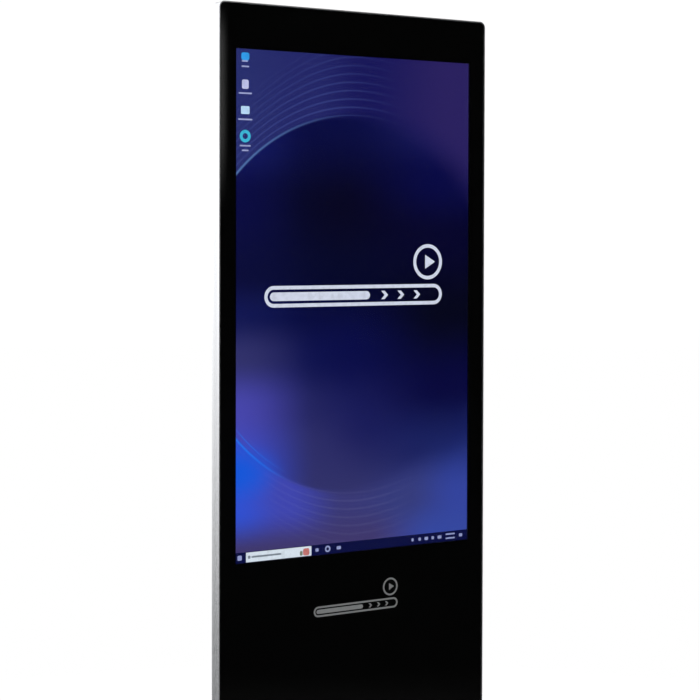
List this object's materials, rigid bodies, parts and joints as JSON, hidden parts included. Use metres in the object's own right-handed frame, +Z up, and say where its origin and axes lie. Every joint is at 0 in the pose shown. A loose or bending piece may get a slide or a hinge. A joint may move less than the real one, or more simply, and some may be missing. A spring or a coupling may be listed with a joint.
{
  "type": "touchscreen kiosk",
  "caption": "Slim floor-standing kiosk with a portrait touchscreen behind one black-bordered glass, a silver frame, a lockable rear service door and a base plate on levelling feet.",
  "frame": {"origin": "on the floor, under the middle of the base plate", "axes": "+Z up; the screen faces -Y; +X to the right of a viewer who faces the screen"},
  "size_m": [0.604, 0.4, 1.8],
  "materials": {
    "front_glass": "gloss black-printed tempered glass",
    "display": "lit picture behind the glass",
    "sensor_film": "clear film",
    "backlight": "metal-backed light guide",
    "aluminium_frame": "satin silver anodised",
    "pressed_aluminium": "perforated sheet case",
    "zinc_steel": "zinc plated",
    "bright_steel": "bright plated",
    "charcoal_steel": "fine texture powder coat",
    "black_plastic": "moulded satin",
    "black_rubber": "matt",
    "circuit_board": "solder mask"
  },
  "bodies": {
    "root": {"front_glass": "front_glass", "touch_sensor": "sensor_film", "lcd_cell": "display", "lcd_backlight": "backlight", "lcd_bezel": "zinc_steel", "frame_side_left": "aluminium_frame", "frame_side_right": "aluminium_frame", "frame_top": "aluminium_frame", "frame_bottom": "aluminium_frame", "base_plate": "charcoal_steel", "rear_cover": "charcoal_steel", "hinge_base_upper": "bright_steel", "hinge_base_lower": "bright_steel", "io_panel": "bright_steel", "fan_frame_left": "black_plastic", "fan_frame_right": "black_plastic", "power_inlet": "black_plastic", "mini_pc": "black_plastic", "power_supply": "pressed_aluminium", "speaker_left": "black_plastic", "speaker_right": "black_plastic", "display_board": "circuit_board", "touch_board": "circuit_board", "mains_lead": "black_rubber", "display_cable": "black_rubber", "equipment_tray": "zinc_steel", "chassis_upright_left": "zinc_steel", "chassis_upright_right": "zinc_steel", "base_bracket_left": "zinc_steel", "base_bracket_right": "zinc_steel", "chassis_rail_1": "zinc_steel", "chassis_rail_2": "zinc_steel", "chassis_rail_3": "zinc_steel", "chassis_rail_4": "zinc_steel", "corner_key_top_left": "zinc_steel", "corner_key_top_right": "zinc_steel", "corner_key_bottom_left": "zinc_steel", "corner_key_bottom_right": "zinc_steel", "foot_lock_nut_front_left": "bright_steel", "base_bolt_front_left": "bright_steel", "foot_lock_nut_front_right": "bright_steel", "base_bolt_front_right": "bright_steel", "foot_lock_nut_rear_left": "bright_steel", "base_bolt_rear_left": "bright_steel", "foot_lock_nut_rear_right": "bright_steel", "base_bolt_rear_right": "bright_steel"},
    "door": {"service_door": "charcoal_steel", "lock_housing": "bright_steel", "hinge_leaf_upper": "bright_steel", "hinge_leaf_lower": "bright_steel"},
    "lock": {"lock_plug": "bright_steel", "lock_cam": "bright_steel"},
    "rocker": {"power_rocker": "black_plastic"},
    "fan_left": {"fan_rotor_left": "black_plastic"},
    "fan_right": {"fan_rotor_right": "black_plastic"},
    "pc_button": {"pc_power_button": "bright_steel"},
    "foot_front_left": {"levelling_foot_front_left": "black_rubber"},
    "foot_front_right": {"levelling_foot_front_right": "black_rubber"},
    "foot_rear_left": {"levelling_foot_rear_left": "black_rubber"},
    "foot_rear_right": {"levelling_foot_rear_right": "black_rubber"}
  },
  "joints": [
    {"name": "service_door_hinge", "type": "hinge", "parent": "root", "child": "door", "pos_m": [-0.16, 0.0318, 0.41], "axis": [0, 0, 1], "range_deg": [0, 110]},
    {"name": "lock_turn", "type": "hinge", "parent": "door", "child": "lock", "pos_m": [0.138, 0.028, 0.41], "axis": [0, -1, 0], "range_deg": [0, 90]},
    {"name": "power_switch", "type": "hinge", "parent": "root", "child": "rocker", "pos_m": [-0.205, 0.0285, 0.146], "axis": [-1, 0, 0], "range_deg": [0, 24]},
    {"name": "fan_left_spin", "type": "hinge", "parent": "root", "child": "fan_left", "pos_m": [-0.09, 0.02, 1.66], "axis": [0, 1, 0], "continuous": true},
    {"name": "fan_right_spin", "type": "hinge", "parent": "root", "child": "fan_right", "pos_m": [0.09, 0.02, 1.66], "axis": [0, 1, 0], "continuous": true},
    {"name": "pc_button_press", "type": "slide", "parent": "root", "child": "pc_button", "axis": [0, -1, 0], "range_m": [0, 0.0012], "stiffness_N_per_m": 600, "springref_m": -0.001},
    {"name": "foot_front_left_level", "type": "slide", "parent": "root", "child": "foot_front_left", "axis": [0, 0, -1], "range_m": [0, 0.008]},
    {"name": "foot_front_right_level", "type": "slide", "parent": "root", "child": "foot_front_right", "axis": [0, 0, -1], "range_m": [0, 0.008]},
    {"name": "foot_rear_left_level", "type": "slide", "parent": "root", "child": "foot_rear_left", "axis": [0, 0, -1], "range_m": [0, 0.008]},
    {"name": "foot_rear_right_level", "type": "slide", "parent": "root", "child": "foot_rear_right", "axis": [0, 0, -1], "range_m": [0, 0.008]}
  ]
}
